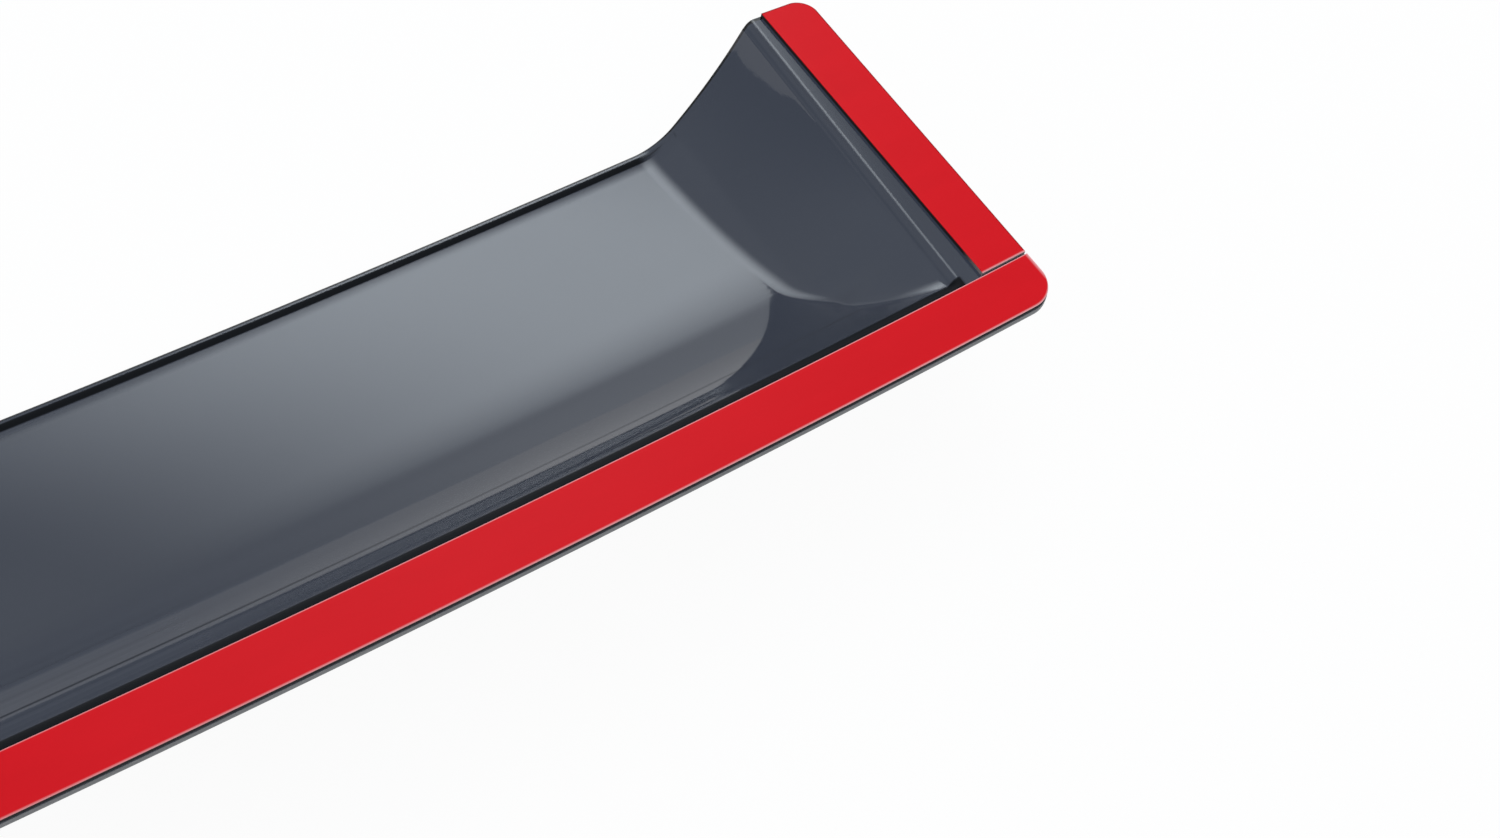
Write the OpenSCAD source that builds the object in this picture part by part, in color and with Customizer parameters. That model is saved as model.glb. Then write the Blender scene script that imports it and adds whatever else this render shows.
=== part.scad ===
// Tape-on window rain deflector for a car's front side window, lying with its tapes up.
// One moulded acrylic sheet carries two foam tapes, each still under its release liner.
// The origin is where the centre lines of the two tapes cross, on the outer face of the
// liners. +X runs to the rear end, +Y from the flange to the free lip, +Z out of the tapes.

/* [Plan] */
// Length from the front nose to the rear edge
overall_len = 760; // [700:1:900]
// Width from the outer edge of the flange to the free lip
overall_w = 80.3; // [70:0.1:95]
// Radius of the bow of the long edge
bow_r = 3600; // [3000:50:9000]
// Distance from the rear corner forward to where the long edge is square to the end
bow_crown = 180; // [100:5:260]
// Radius of the outer rear corner
rear_corner_r = 6; // [3:0.1:8]
// Radius of the corner between the end flange and the lip
tip_corner_r = 4; // [2:0.1:6]
// Angle by which the tip of the end flange is cut back, in degrees
tip_slant = 4; // [0:0.5:12]

/* [Sheet] */
// Thickness of the acrylic
sheet_t = 2; // [1.5:0.1:3]
// Radius of the outer edges, on the side away from the tapes
edge_r = 0.9; // [0.2:0.1:1.2]
// Bare strip between the long tape and the bend
bend_gap = 0.3; // [0.1:0.1:1.5]
// Radius of the bend off the flange, on the tape side
bend_r = 2.4; // [1.5:0.1:4]
// Steepest slope of the bend, in degrees
bend_slope = 50; // [44:1:58]
// Run over which the bend eases onto the shoulder
ease_run = 1.2; // [0.5:0.1:2]
// Slope of the straight shoulder, in degrees
shoulder_slope = 40.5; // [36:0.5:43]
// Run of the straight shoulder
shoulder_run = 3.4; // [1:0.1:6]
// Radius of the knee between the shoulder and the face
knee_r = 60; // [40:1:80]
// Slope at the foot of the knee, in degrees
knee_slope = 21; // [18:0.5:26]

/* [Lip] */
// Depth of the lip below the flange at the rear
drop_rear = 25.5; // [22:0.1:30]
// Depth of the lip below the flange at the front, before the taper
drop_front = 20; // [18:0.1:26]
// Width of the rolled bead along the lip
bead_w = 2.4; // [1.5:0.1:4]
// Height of that bead
bead_h = 0.4; // [0.1:0.05:0.8]

/* [Front taper] */
// Length over which the wing narrows to nothing
taper_len = 300; // [200:5:400]
// Fullness of the tapering curve, where 0.5 is a quarter ellipse
taper_power = 0.6; // [0.5:0.05:0.9]
// Flange left ahead of the wing
nose_len = 4; // [2:0.5:8]
// Radius of the nose's outer corner
nose_r = 8; // [4:0.5:9]

/* [End wall] */
// Distance from the end tape to the crease at the foot of the wall
wall_run = 25.4; // [20:0.1:32]
// Distance by which the crease turns towards the end tape beside the flange
crease_shift = 7; // [0:0.1:10]
// Run across the section over which the crease turns
crease_turn = 24; // [12:0.5:40]
// Run of the fillet at the foot of the wall, at the lip
wall_fillet_run = 10; // [6:0.1:14]
// Run of the same fillet beside the flange
wall_fillet_in = 2; // [1:0.1:6]
// Slope where the fillet ends, in degrees
wall_slope = 50; // [40:1:55]
// Slope at the top of the wall, in degrees
wall_top_slope = 65; // [58:1:68]
// Radius of the bend off the end flange, on the tape side
wall_bend_r = 2; // [1.5:0.1:3]
// Bare strip beside the end tape at the inner corner
band_corner = 3.9; // [2.5:0.1:6]
// Bare strip beside the end tape at the tip
band_tip = 1.7; // [0.6:0.1:3]
// Plan radius of the inner corner
inner_corner_r = 2; // [1:0.1:3]
// Radius at the foot of the small step inside both flanges
step_foot_r = 0.6; // [0.4:0.1:1.2]

/* [Tapes] */
// Width of the long tape
tape_w = 10; // [9:0.1:13]
// Width of the end tape
end_tape_w = 10; // [8:0.1:13]
// Thickness of the foam
foam_t = 0.8; // [0.5:0.1:1.6]
// Thickness of the release liner
liner_t = 0.1; // [0.05:0.01:0.2]
// Gap between the ends of the two tapes
seam_gap = 0.5; // [0.2:0.1:1.5]
// Bare edge of the flange outside each tape
tape_margin = 0.1; // [0:0.05:1]

/* [Hidden] */

// Heights
foam_top = -liner_t;
flange_top = -liner_t - foam_t;

// Places along the length
rear_x = end_tape_w / 2 + tape_margin;
front_x = rear_x - overall_len;
wing_x = front_x + nose_len;
crease_x = -end_tape_w / 2 - wall_run;

// Widths of the flange and of the wing beyond the long tape
flange_w = tape_w + tape_margin;
wing_w = overall_w - flange_w;
// Least share of the wing that is left at the nose
least_share = 0.015;

// The bow: an arc through the middle of the rear corner
bow_y = -tape_w / 2 + sqrt(bow_r * bow_r - bow_crown * bow_crown);

// Breaks in the wing's section, as runs from the long tape and drops below the flange
bend_end = bend_gap + bend_r * sin(bend_slope);
ease_end = bend_end + ease_run;
shoulder_end = ease_end + shoulder_run;
knee_end = shoulder_end + knee_r * (sin(shoulder_slope) - sin(knee_slope));
bend_drop = bend_r * (1 - cos(bend_slope));
ease_drop = bend_drop + arc_drop(bend_slope, shoulder_slope, ease_run, ease_run);
shoulder_drop = ease_drop + shoulder_run * tan(shoulder_slope);
knee_drop = shoulder_drop + knee_r * (cos(knee_slope) - cos(shoulder_slope));

// The same for the small step inside the flanges
step_bend_end = bend_gap + wall_bend_r * sin(wall_top_slope);
step_bend_drop = wall_bend_r * (1 - cos(wall_top_slope));
step_foot_run = step_foot_r * sin(wall_top_slope);

// Counts of faces along the length. The nose stands in for the first few of the taper
nose_n = 5;
taper_n = 16;
taper_skip = 3;
middle_n = 14;
wall_n = 12;
wall_top_n = 7;
corner_n = 8;
// Share of the end wall's run that has the wide stations, below its bend
wall_wide = 0.86;
// Power that crowds those stations towards the crease
wall_crowd = 1.4;

// Counts of faces across the section
edge_n = 4;
bend_n = 5;
knee_n = 6;
face_n = 8;
bead_n = 6;

// Powers that crowd the faces towards the nose and the lip
nose_crowd = 2;
lip_crowd = 1.5;
// Power that moves the crown of the bead towards the lip
bead_skew = 0.8;
// Half the span over which a slope is measured
probe = 0.05;
// Steepest slope that the outer side is worked out for, and the steps up to it
reach_slope = 70;
reach_n = 10;

// Zones along the length
nose_zone = 0;
taper_zone = 1;
middle_zone = 2;
wall_zone = 3;
band_zone = 4;
corner_zone = 5;

function mix(a, b, t) = a + (b - a) * t;
function clip(v, low, high) = max(low, min(high, v));

// Drop after a run t on an arc whose slope turns from a to b over the whole run
function arc_drop(a, b, t, run) =
    let (r = run / (sin(b) - sin(a)), s = asin(sin(a) + t / r))
    r * (cos(a) - cos(s));

// Setback of a rounded corner, where t is how far past its start the point lies
function round_back(r, t) = r - sqrt(r * r - pow(clip(t, 0, r), 2));

// The long edge under the outer side of the long tape
function bow_edge(x) = bow_y - sqrt(bow_r * bow_r - pow(x + bow_crown, 2));

// Inner side of the long tape
function inner_edge(x) = bow_edge(x) + tape_w;

// Share of the full wing that stands at x
function share(x) =
    let (t = clip((x - wing_x) / taper_len, 0, 1))
    max(least_share, pow(1 - pow(1 - t, 2), taper_power));

// Depth of the lip at x, before the taper
function lip_drop(x) = mix(drop_front, drop_rear, clip((x - front_x) / (crease_x - front_x), 0, 1));

// Drop of the face, the last arc of the section, which ends at the lip
function face_drop(v, x) =
    let (run = wing_w - knee_end, mean = atan((lip_drop(x) - knee_drop) / run))
    knee_drop + arc_drop(knee_slope, 2 * mean - knee_slope, v - knee_end, run);

// Section of the wing: drop below the flange at a run v from the long tape
function wing_drop(v, x) =
    v <= bend_gap ? 0 :
    v <= bend_end ? arc_drop(0, bend_slope, v - bend_gap, bend_end - bend_gap) :
    v <= ease_end ? bend_drop + arc_drop(bend_slope, shoulder_slope, v - bend_end, ease_run) :
    v <= shoulder_end ? ease_drop + (v - ease_end) * tan(shoulder_slope) :
    v <= knee_end ? shoulder_drop + arc_drop(shoulder_slope, knee_slope, v - shoulder_end,
                                             knee_end - shoulder_end) :
    face_drop(v, x);

// The small step that goes round the inside of both flanges
function step_part(d) =
    let (run = step_bend_end - bend_gap)
    d <= bend_gap ? 0 :
    d <= step_bend_end ? arc_drop(0, wall_top_slope, d - bend_gap, run) :
    step_bend_drop + arc_drop(wall_top_slope, 0, min(d - step_bend_end, step_foot_run), step_foot_run);

// Line of the crease at the foot of the end wall, which turns in beside the flange
function crease_at(v) = crease_x + crease_shift * pow(1 - clip(v / crease_turn, 0, 1), 2);

// Line where the end wall leaves the end flange, which slants towards the tip
function wall_top_x(v) = -end_tape_w / 2 - mix(band_corner, band_tip, clip(v / wing_w, 0, 1));

// Line where the wall proper meets the foot of the small step
function wall_foot_x(v) = wall_top_x(v) - (step_bend_end - bend_gap) - step_foot_run / 2;

// Distance into the shell from the two flanges, with the corner between them rounded
function inside(v, w) =
    let (r = inner_corner_r + bend_gap)
    v < r && w < r ? r - norm([r - v, r - w]) : min(v, w);

// Rise of the end wall as a share of its height: a fillet, which widens towards the lip, and
// then a hollow slope
function wall_rise(t, v) =
    let (run = wall_foot_x(v) - crease_at(v), s = t * run,
         fillet = mix(wall_fillet_in, wall_fillet_run, v / wing_w), rest = run - fillet,
         low = arc_drop(0, wall_slope, fillet, fillet),
         all = low + arc_drop(wall_slope, wall_top_slope, rest, rest))
    t <= 0 ? 0 : t >= 1 ? 1 :
    (s <= fillet ? arc_drop(0, wall_slope, s, fillet) :
     low + arc_drop(wall_slope, wall_top_slope, s - fillet, rest)) / all;

// Height of the rolled bead at a run v
function bead(v) =
    let (t = clip((wing_w - v) / bead_w, 0, 1))
    bead_h * sin(180 * pow(t, bead_skew));

// Tape side of the sheet at x and at the run v of the full section
function top_z(x, v) =
    let (w = wall_top_x(v) - x + bend_gap,
         t = (x - crease_at(v)) / (wall_foot_x(v) - crease_at(v)),
         past = v <= bend_gap || w <= bend_gap)
    past ? flange_top :
    flange_top + share(x) * (bead(v) * (1 - clip(t, 0, 1)) - step_part(inside(v, w))
                             - (wing_drop(v, x) - step_part(v)) * (1 - wall_rise(t, v)));

// Fall of the tape side in the row [along x, across it]
function fall(x, v) =
    let (low = max(v - probe, 0), high = min(v + probe, wing_w))
    [(top_z(x - probe, v) - top_z(x + probe, v)) / (2 * probe),
     (top_z(x, low) - top_z(x, high)) / (share(x) * (high - low))];

// Outer side of the sheet: the lowest reach of balls as large as the sheet is thick, which are
// centred on the tape side, from the given point downhill
function outer_z(x, v) =
    let (slope = fall(x, v), steep = norm(slope), way = steep > 0 ? slope / steep : slope)
    min([for (i = [0:reach_n])
        let (s = sheet_t * sin(reach_slope * i / reach_n),
             far_x = clip(x + s * way[0], front_x, rear_x),
             far_v = clip(v + s * way[1] / share(x), 0, wing_w),
             gap = norm([far_x - x, (far_v - v) * share(x)]))
        top_z(far_x, far_v) - sqrt(sheet_t * sheet_t - gap * gap)]);

// Outline of the sheet in plan, set back from its edge, with its rounded corners
function outer_y(x, back = 0) =
    bow_edge(x) - tape_margin + back + round_back(rear_corner_r - back, x - (rear_x - rear_corner_r))
    + round_back(nose_r - back, front_x + nose_r - x);
function lip_y(x, back = 0) =
    inner_edge(x) + wing_w * share(x) - back - round_back(tip_corner_r - back, x - (rear_x - tip_corner_r))
    - max(0, x - wall_top_x(wing_w)) * tan(tip_slant);

// Runs across the section. From -1 to 0 they are shares of the flange, from its outer edge
runs = concat(
    [for (i = [0:edge_n]) -1 + (1 - cos(90 * i / edge_n)) * edge_r / flange_w],
    [0],
    [for (i = [0:bend_n]) mix(bend_gap, bend_end, i / bend_n)],
    [mix(bend_end, ease_end, 0.5), ease_end, mix(ease_end, shoulder_end, 0.5)],
    [for (i = [0:knee_n]) mix(shoulder_end, knee_end, i / knee_n)],
    [for (i = [1:face_n]) mix(knee_end, wing_w - bead_w, i / face_n)],
    [for (i = [1:bead_n]) wing_w - bead_w * pow(1 - i / bead_n, lip_crowd)]);

// Stations along the length, as [zone, share of the zone]
stations = concat(
    [for (i = [0:nose_n]) [nose_zone, 1 - cos(90 * i / nose_n)]],
    [for (i = [taper_skip:taper_n]) [taper_zone, pow(i / taper_n, nose_crowd)]],
    [for (i = [1:middle_n]) [middle_zone, i / middle_n]],
    [for (i = [1:wall_n]) [wall_zone, wall_wide * pow(i / wall_n, wall_crowd)]],
    [for (i = [1:wall_top_n]) [wall_zone, mix(wall_wide, 1, i / wall_top_n)]],
    [[band_zone, 0.5]],
    [for (i = [0:corner_n]) [corner_zone, sin(90 * i / corner_n)]]);

// X of a station on the run v. The lines slant with the end wall
function station_x(s, v) =
    s[0] == nose_zone ? front_x + nose_r * s[1] :
    s[0] == taper_zone ? wing_x + taper_len * s[1] :
    s[0] == middle_zone ? mix(wing_x + taper_len, crease_at(v), s[1]) :
    s[0] == wall_zone ? mix(crease_at(v), wall_top_x(v), s[1]) :
    s[0] == band_zone ? mix(wall_top_x(v), rear_x - rear_corner_r, s[1]) :
    rear_x - rear_corner_r * (1 - s[1]);

// A point of the sheet: side 0 is the tape side and side 1 the outer side
function sheet_point(s, v, side) =
    let (x = station_x(s, v),
         y = v < 0 ? mix(inner_edge(x), outer_y(x), -v) : mix(inner_edge(x), lip_y(x), v / wing_w),
         edge = min(y - outer_y(x), lip_y(x) - y, rear_x - x, x - front_x))
    [x, y, side == 0 ? top_z(x, v) : outer_z(x, max(v, 0)) + round_back(edge_r, edge_r - edge)];

// The whole sheet as one closed ring of points for each station
module visor_shell() {
    n = len(runs);
    ring = 2 * n;
    rows = len(stations);
    points = [for (s = stations) each concat(
        [for (v = runs) sheet_point(s, v, 0)],
        [for (i = [n - 1:-1:0]) sheet_point(s, runs[i], 1)])];
    skin = [for (i = [0:rows - 2], j = [0:ring - 1])
        let (a = i * ring + j, b = i * ring + (j + 1) % ring)
        each [[a, b, b + ring], [a, b + ring, a + ring]]];
    last = (rows - 1) * ring;
    front_cap = [for (j = [0:n - 2]) each [[j + 1, j, ring - 1 - j], [j + 1, ring - 1 - j, ring - 2 - j]]];
    rear_cap = [for (f = front_cap) [last + f[2], last + f[1], last + f[0]]];
    color("#3d434d") polyhedron(points, concat(skin, front_cap, rear_cap), convexity = 6);
}

// Outline of the long tape, which follows the flange's nose, bow and rear corner
module long_outline() {
    front_r = nose_r - tape_margin;
    rear_r = rear_corner_r - tape_margin;
    xs = concat(
        [for (i = [0:nose_n]) front_x + nose_r - front_r * cos(90 * i / nose_n)],
        [for (s = stations) if (s[0] > nose_zone && s[0] < corner_zone) station_x(s, 0)],
        [for (i = [0:corner_n]) rear_x - rear_corner_r + rear_r * sin(90 * i / corner_n)]);
    polygon(concat(
        [for (x = xs) [x, outer_y(x, tape_margin)]],
        [for (i = [len(xs) - 1:-1:0]) [xs[i], inner_edge(xs[i])]]));
}

// Outline of the end tape, cut square beside the long tape and round at the tip
module end_outline() {
    left = -end_tape_w / 2;
    right = end_tape_w / 2;
    tip_r = tip_corner_r - tape_margin;
    tips = [for (i = [0:corner_n]) right - tip_r * (1 - sin(90 * i / corner_n))];
    polygon(concat(
        [[left, inner_edge(left) + seam_gap], [right, inner_edge(right) + seam_gap]],
        [for (i = [corner_n:-1:0]) [tips[i], lip_y(tips[i], tape_margin)]],
        [[left, lip_y(left, tape_margin)]]));
}

module long_foam_tape() {
    color("#8c8a87") translate([0, 0, flange_top]) linear_extrude(foam_t) long_outline();
}

module end_foam_tape() {
    color("#8c8a87") translate([0, 0, flange_top]) linear_extrude(foam_t) end_outline();
}

module long_liner() {
    color("#d3202b") translate([0, 0, foam_top]) linear_extrude(liner_t) long_outline();
}

module end_liner() {
    color("#d3202b") translate([0, 0, foam_top]) linear_extrude(liner_t) end_outline();
}

visor_shell();
long_foam_tape();
long_liner();
end_foam_tape();
end_liner();
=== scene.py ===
"""Looks of a tape-on window rain deflector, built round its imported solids.

The sheet is a height over its plan. It is worked out with numpy on a grid of stations along the
length and runs across the section, and the tapes follow the same plan. Lengths are millimetres
until a mesh is made.
"""

import logging
from dataclasses import dataclass, field
from enum import Enum
from typing import Any

import bpy
import numpy as np
from mathutils import Matrix, Vector


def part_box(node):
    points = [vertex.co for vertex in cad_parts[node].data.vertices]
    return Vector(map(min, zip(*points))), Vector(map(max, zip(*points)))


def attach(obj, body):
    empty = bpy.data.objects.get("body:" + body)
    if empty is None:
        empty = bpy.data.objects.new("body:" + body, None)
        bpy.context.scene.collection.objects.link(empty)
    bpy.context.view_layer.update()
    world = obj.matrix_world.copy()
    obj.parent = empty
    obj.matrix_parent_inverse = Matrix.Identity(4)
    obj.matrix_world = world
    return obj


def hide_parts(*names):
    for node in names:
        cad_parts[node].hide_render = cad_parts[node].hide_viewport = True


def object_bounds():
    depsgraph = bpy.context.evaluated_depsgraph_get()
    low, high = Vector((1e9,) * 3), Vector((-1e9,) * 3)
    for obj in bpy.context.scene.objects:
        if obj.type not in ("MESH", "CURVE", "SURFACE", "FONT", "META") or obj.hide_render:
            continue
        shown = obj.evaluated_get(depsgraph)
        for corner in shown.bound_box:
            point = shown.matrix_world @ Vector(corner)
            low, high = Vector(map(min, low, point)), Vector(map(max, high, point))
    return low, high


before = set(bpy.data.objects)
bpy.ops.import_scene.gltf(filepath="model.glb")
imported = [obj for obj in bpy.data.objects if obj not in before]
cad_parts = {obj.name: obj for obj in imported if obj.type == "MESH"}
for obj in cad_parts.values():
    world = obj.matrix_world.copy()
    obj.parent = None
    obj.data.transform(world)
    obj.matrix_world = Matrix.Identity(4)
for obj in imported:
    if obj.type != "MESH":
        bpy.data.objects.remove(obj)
CAD_BOX = [[float(v) for v in corner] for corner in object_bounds()]

# Metres in a millimetre.
MM = 0.001
# Width of the sheet across the flange and the wing, in millimetres.
OVERALL_W = 80.3
# Gap between the part's lowest point and the floor, in metres.
FLOOR_GAP = 0.0002
# Angle between faces past which their edge is sharp, in degrees.
SHARP_ANGLE = 38.0
# Least slope that is divided by, for the flat stretches.
LEAST_SLOPE = 1e-9

# A number or an array of them, as the formulas of the surfaces take and give.
Numbers = float | np.ndarray
# Red, green, blue and alpha.
Rgba = tuple[float, float, float, float]

log = logging.getLogger("deflector")


def sin_of(angle: float) -> float:
    """Sine of an angle in degrees."""
    return float(np.sin(np.radians(angle)))


def cos_of(angle: float) -> float:
    """Cosine of an angle in degrees."""
    return float(np.cos(np.radians(angle)))


def tan_of(angle: float) -> float:
    """Tangent of an angle in degrees."""
    return float(np.tan(np.radians(angle)))


def direction(azimuth: float, height: float) -> tuple[float, float, float]:
    """Unit direction at an azimuth, from +X to +Y, and a height over the floor, in degrees."""
    level = cos_of(height)
    return level * cos_of(azimuth), level * sin_of(azimuth), sin_of(height)


def quarter(steps: int) -> np.ndarray:
    """Angles of a quarter turn from 0, in equal steps."""
    return np.linspace(0, np.pi / 2, steps + 1)


def blend_of(a: Numbers, b: Numbers, t: Numbers) -> Numbers:
    """Value that goes straight from a to b as t goes from 0 to 1."""
    return a + (b - a) * t


def arc_drop(start: Numbers, end: Numbers, along: Numbers, run: Numbers) -> Numbers:
    """Drop along an arc whose slope turns from start to end over the whole run.

    The arc's radius is the run over the difference of the sines. At each point the sine of the
    slope grows evenly, and the drop is the radius times the difference of the cosines.

    Args:
        start: Slope where the arc starts, in degrees.
        end: Slope where it ends, in degrees.
        along: Run from the start to the point. Before the arc and past it the drop stays even.
        run: Whole run of the arc.

    Returns:
        The drop at each point.
    """
    first = np.radians(start)
    radius = run / (np.sin(np.radians(end)) - np.sin(first))
    sine = np.clip(np.sin(first) + np.clip(along, 0, run) / radius, -1, 1)
    return radius * (np.cos(first) - np.cos(np.arcsin(sine)))


def round_back(radius: float, past: Numbers) -> Numbers:
    """Setback of a corner rounded as a quarter circle.

    Args:
        radius: Radius of the corner.
        past: How far past the start of the rounding each point lies.

    Returns:
        The radius less the height of the circle there.
    """
    inside = np.clip(past, 0, radius)
    return radius - np.sqrt(radius * radius - inside * inside)


@dataclass
class Plan:
    """Outline of the deflector seen from its tape side, in millimetres."""

    front_x: float
    rear_x: float
    overall_w: float
    tape_w: float = 10.0
    end_tape_w: float = 10.0
    tape_margin: float = 0.1
    seam_gap: float = 0.5
    bow_radius: float = 3600.0
    bow_crown: float = 180.0
    rear_corner_r: float = 6.0
    tip_corner_r: float = 4.0
    tip_slant: float = 4.0
    nose_len: float = 4.0
    nose_r: float = 8.0
    taper_len: float = 300.0
    taper_power: float = 0.6
    least_share: float = 0.015
    band_corner: float = 3.9
    band_tip: float = 1.7

    def __post_init__(self) -> None:
        """Works out the places that follow from the sizes."""
        self.wing_x = self.front_x + self.nose_len
        self.flange_w = self.tape_w + self.tape_margin
        self.wing_w = self.overall_w - self.flange_w
        self.bow_y = -self.tape_w / 2 + np.sqrt(self.bow_radius**2 - self.bow_crown**2)

    def bow_edge(self, x: Numbers) -> Numbers:
        """Outer side of the long tape: a circle's arc whose lowest point is at the crown."""
        return self.bow_y - np.sqrt(self.bow_radius**2 - (x + self.bow_crown) ** 2)

    def inner_edge(self, x: Numbers) -> Numbers:
        """Inner side of the long tape, one tape's width in from the bow."""
        return self.bow_edge(x) + self.tape_w

    def share(self, x: Numbers) -> Numbers:
        """Share of the wing at x: one less the square of the way left, to a power, or the least."""
        t = np.clip((x - self.wing_x) / self.taper_len, 0, 1)
        return np.maximum(self.least_share, (1 - (1 - t) ** 2) ** self.taper_power)

    def outer_y(self, x: Numbers, back: float = 0.0) -> Numbers:
        """Outer edge of the flange, with the nose and the rear corner round.

        Args:
            x: Place along the sheet.
            back: Margin by which the edge is set back.

        Returns:
            Y of the edge at each place.
        """
        rear = round_back(self.rear_corner_r - back, x - (self.rear_x - self.rear_corner_r))
        nose = round_back(self.nose_r - back, self.front_x + self.nose_r - x)
        return self.bow_edge(x) - self.tape_margin + back + rear + nose

    def lip_y(self, x: Numbers, back: float = 0.0) -> Numbers:
        """Free lip: the share of the wing, with the tip's corner round and slanted.

        Args:
            x: Place along the sheet.
            back: Margin by which the lip is set back.

        Returns:
            Y of the lip at each place.
        """
        corner = round_back(self.tip_corner_r - back, x - (self.rear_x - self.tip_corner_r))
        slant = np.maximum(0, x - self.wall_top_x(self.wing_w)) * tan_of(self.tip_slant)
        return self.inner_edge(x) + self.wing_w * self.share(x) - back - corner - slant

    def wall_top_x(self, v: Numbers) -> Numbers:
        """Line where the end wall leaves the end flange, a straight slant from corner to tip."""
        t = np.clip(v / self.wing_w, 0, 1)
        return -self.end_tape_w / 2 - blend_of(self.band_corner, self.band_tip, t)


@dataclass
class Section:
    """Heights of the moulded sheet over its plan, in millimetres."""

    plan: Plan
    flange_top: float
    sheet_t: float = 2.0
    edge_r: float = 0.9
    top_edge_r: float = 0.12
    bend_gap: float = 0.3
    bend_r: float = 2.4
    bend_slope: float = 50.0
    ease_run: float = 1.2
    shoulder_slope: float = 40.5
    shoulder_run: float = 3.4
    knee_r: float = 60.0
    knee_slope: float = 21.0
    drop_rear: float = 25.5
    drop_front: float = 20.0
    bead_w: float = 2.4
    bead_h: float = 0.4
    bead_skew: float = 0.8
    wall_run: float = 25.4
    crease_shift: float = 3.0
    crease_turn: float = 24.0
    crease_fade: float = 10.0
    corner_shift: float = 15.0
    corner_turn: float = 13.0
    corner_power: float = 1.3
    wall_fillet_run: float = 10.0
    wall_fillet_in: float = 2.0
    wall_fillet_share: float = 0.4
    wall_slope: float = 50.0
    wall_top_slope: float = 65.0
    wall_bend_r: float = 2.0
    inner_corner_r: float = 2.0
    step_foot_r: float = 0.6
    probe: float = 0.05
    reach_slope: float = 72.0
    reach_steps: int = 24

    def __post_init__(self) -> None:
        """Works out where the stretches of the section end."""
        self.crease_x = -self.plan.end_tape_w / 2 - self.wall_run
        self.bend_end = self.bend_gap + self.bend_r * sin_of(self.bend_slope)
        self.ease_end = self.bend_end + self.ease_run
        self.shoulder_end = self.ease_end + self.shoulder_run
        self.knee_run = self.knee_r * (sin_of(self.shoulder_slope) - sin_of(self.knee_slope))
        self.knee_end = self.shoulder_end + self.knee_run
        self.step_run = self.wall_bend_r * sin_of(self.wall_top_slope)
        self.foot_run = self.step_foot_r * sin_of(self.wall_top_slope)

    def knee_part(self, v: Numbers) -> Numbers:
        """Drop as far as the knee's end: the bend, the ease, the straight shoulder and the knee."""
        straight = np.clip(v - self.ease_end, 0, self.shoulder_run) * tan_of(self.shoulder_slope)
        return (arc_drop(0, self.bend_slope, v - self.bend_gap, self.bend_end - self.bend_gap)
                + arc_drop(self.bend_slope, self.shoulder_slope, v - self.bend_end, self.ease_run)
                + straight
                + arc_drop(self.shoulder_slope, self.knee_slope, v - self.shoulder_end, self.knee_run))

    def wing_drop(self, v: Numbers, x: Numbers) -> Numbers:
        """Drop of the full wing below the flange: that of the knee part, and the face's.

        The face is an arc from the knee's slope to whatever slope brings it to the lip's depth.

        Args:
            v: Run across the section.
            x: Place along the sheet.

        Returns:
            The drop at each point.
        """
        way = np.clip((x - self.plan.front_x) / (self.crease_x - self.plan.front_x), 0, 1)
        depth = blend_of(self.drop_front, self.drop_rear, way)
        face_run = self.plan.wing_w - self.knee_end
        mean = np.degrees(np.arctan((depth - self.knee_part(self.knee_end)) / face_run))
        face = arc_drop(self.knee_slope, 2 * mean - self.knee_slope, v - self.knee_end, face_run)
        return self.knee_part(v) + face

    def step_part(self, d: Numbers) -> Numbers:
        """Drop of the small step inside the flanges: an arc down and a foot that levels off."""
        down = arc_drop(0, self.wall_top_slope, d - self.bend_gap, self.step_run)
        return down + arc_drop(self.wall_top_slope, 0, d - self.bend_gap - self.step_run, self.foot_run)

    def inside(self, v: Numbers, w: Numbers) -> Numbers:
        """Distance in from both flanges, with the corner between them rounded in plan."""
        r = self.inner_corner_r + self.bend_gap
        return np.where((v < r) & (w < r), r - np.hypot(r - v, r - w), np.minimum(v, w))

    def crease_at(self, v: Numbers) -> Numbers:
        """Line of the crease at the foot of the end wall.

        It is straight from the lip and bends in by a smooth step. Beside the flange it turns in
        to the corner by a power of the way that is left.

        Args:
            v: Run across the section.

        Returns:
            X of the crease on each run.
        """
        near = np.clip((self.crease_turn - v) / self.crease_fade, 0, 1)
        bend = self.crease_shift * near * near * (3 - 2 * near)
        left = 1 - np.clip(v / self.corner_turn, 0, 1)
        return self.crease_x + bend + self.corner_shift * left**self.corner_power

    def wall_foot_x(self, v: Numbers) -> Numbers:
        """Line where the wall meets the foot of the small step."""
        return self.plan.wall_top_x(v) - self.step_run - self.foot_run / 2

    def wall_rise(self, t: Numbers, v: Numbers) -> Numbers:
        """Rise of the end wall as a share of its height.

        A fillet, which widens towards the lip, leads to a hollow slope.

        Args:
            t: Share of the way from the crease to the foot of the small step.
            v: Run across the section.

        Returns:
            The rise at each point, from 0 to 1.
        """
        run = self.wall_foot_x(v) - self.crease_at(v)
        fillet = blend_of(self.wall_fillet_in, self.wall_fillet_run, v / self.plan.wing_w)
        fillet = np.minimum(fillet, self.wall_fillet_share * run)
        rest = run - fillet
        low = arc_drop(0, self.wall_slope, fillet, fillet)
        whole = low + arc_drop(self.wall_slope, self.wall_top_slope, rest, rest)
        s = np.clip(t, 0, 1) * run
        upper = low + arc_drop(self.wall_slope, self.wall_top_slope, s - fillet, rest)
        return np.where(s <= fillet, arc_drop(0, self.wall_slope, s, fillet), upper) / whole

    def bead(self, v: Numbers) -> Numbers:
        """Height of the rolled bead along the lip: half a sine wave, skewed to the lip."""
        t = np.clip((self.plan.wing_w - v) / self.bead_w, 0, 1)
        return self.bead_h * np.sin(np.pi * t**self.bead_skew)

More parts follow.
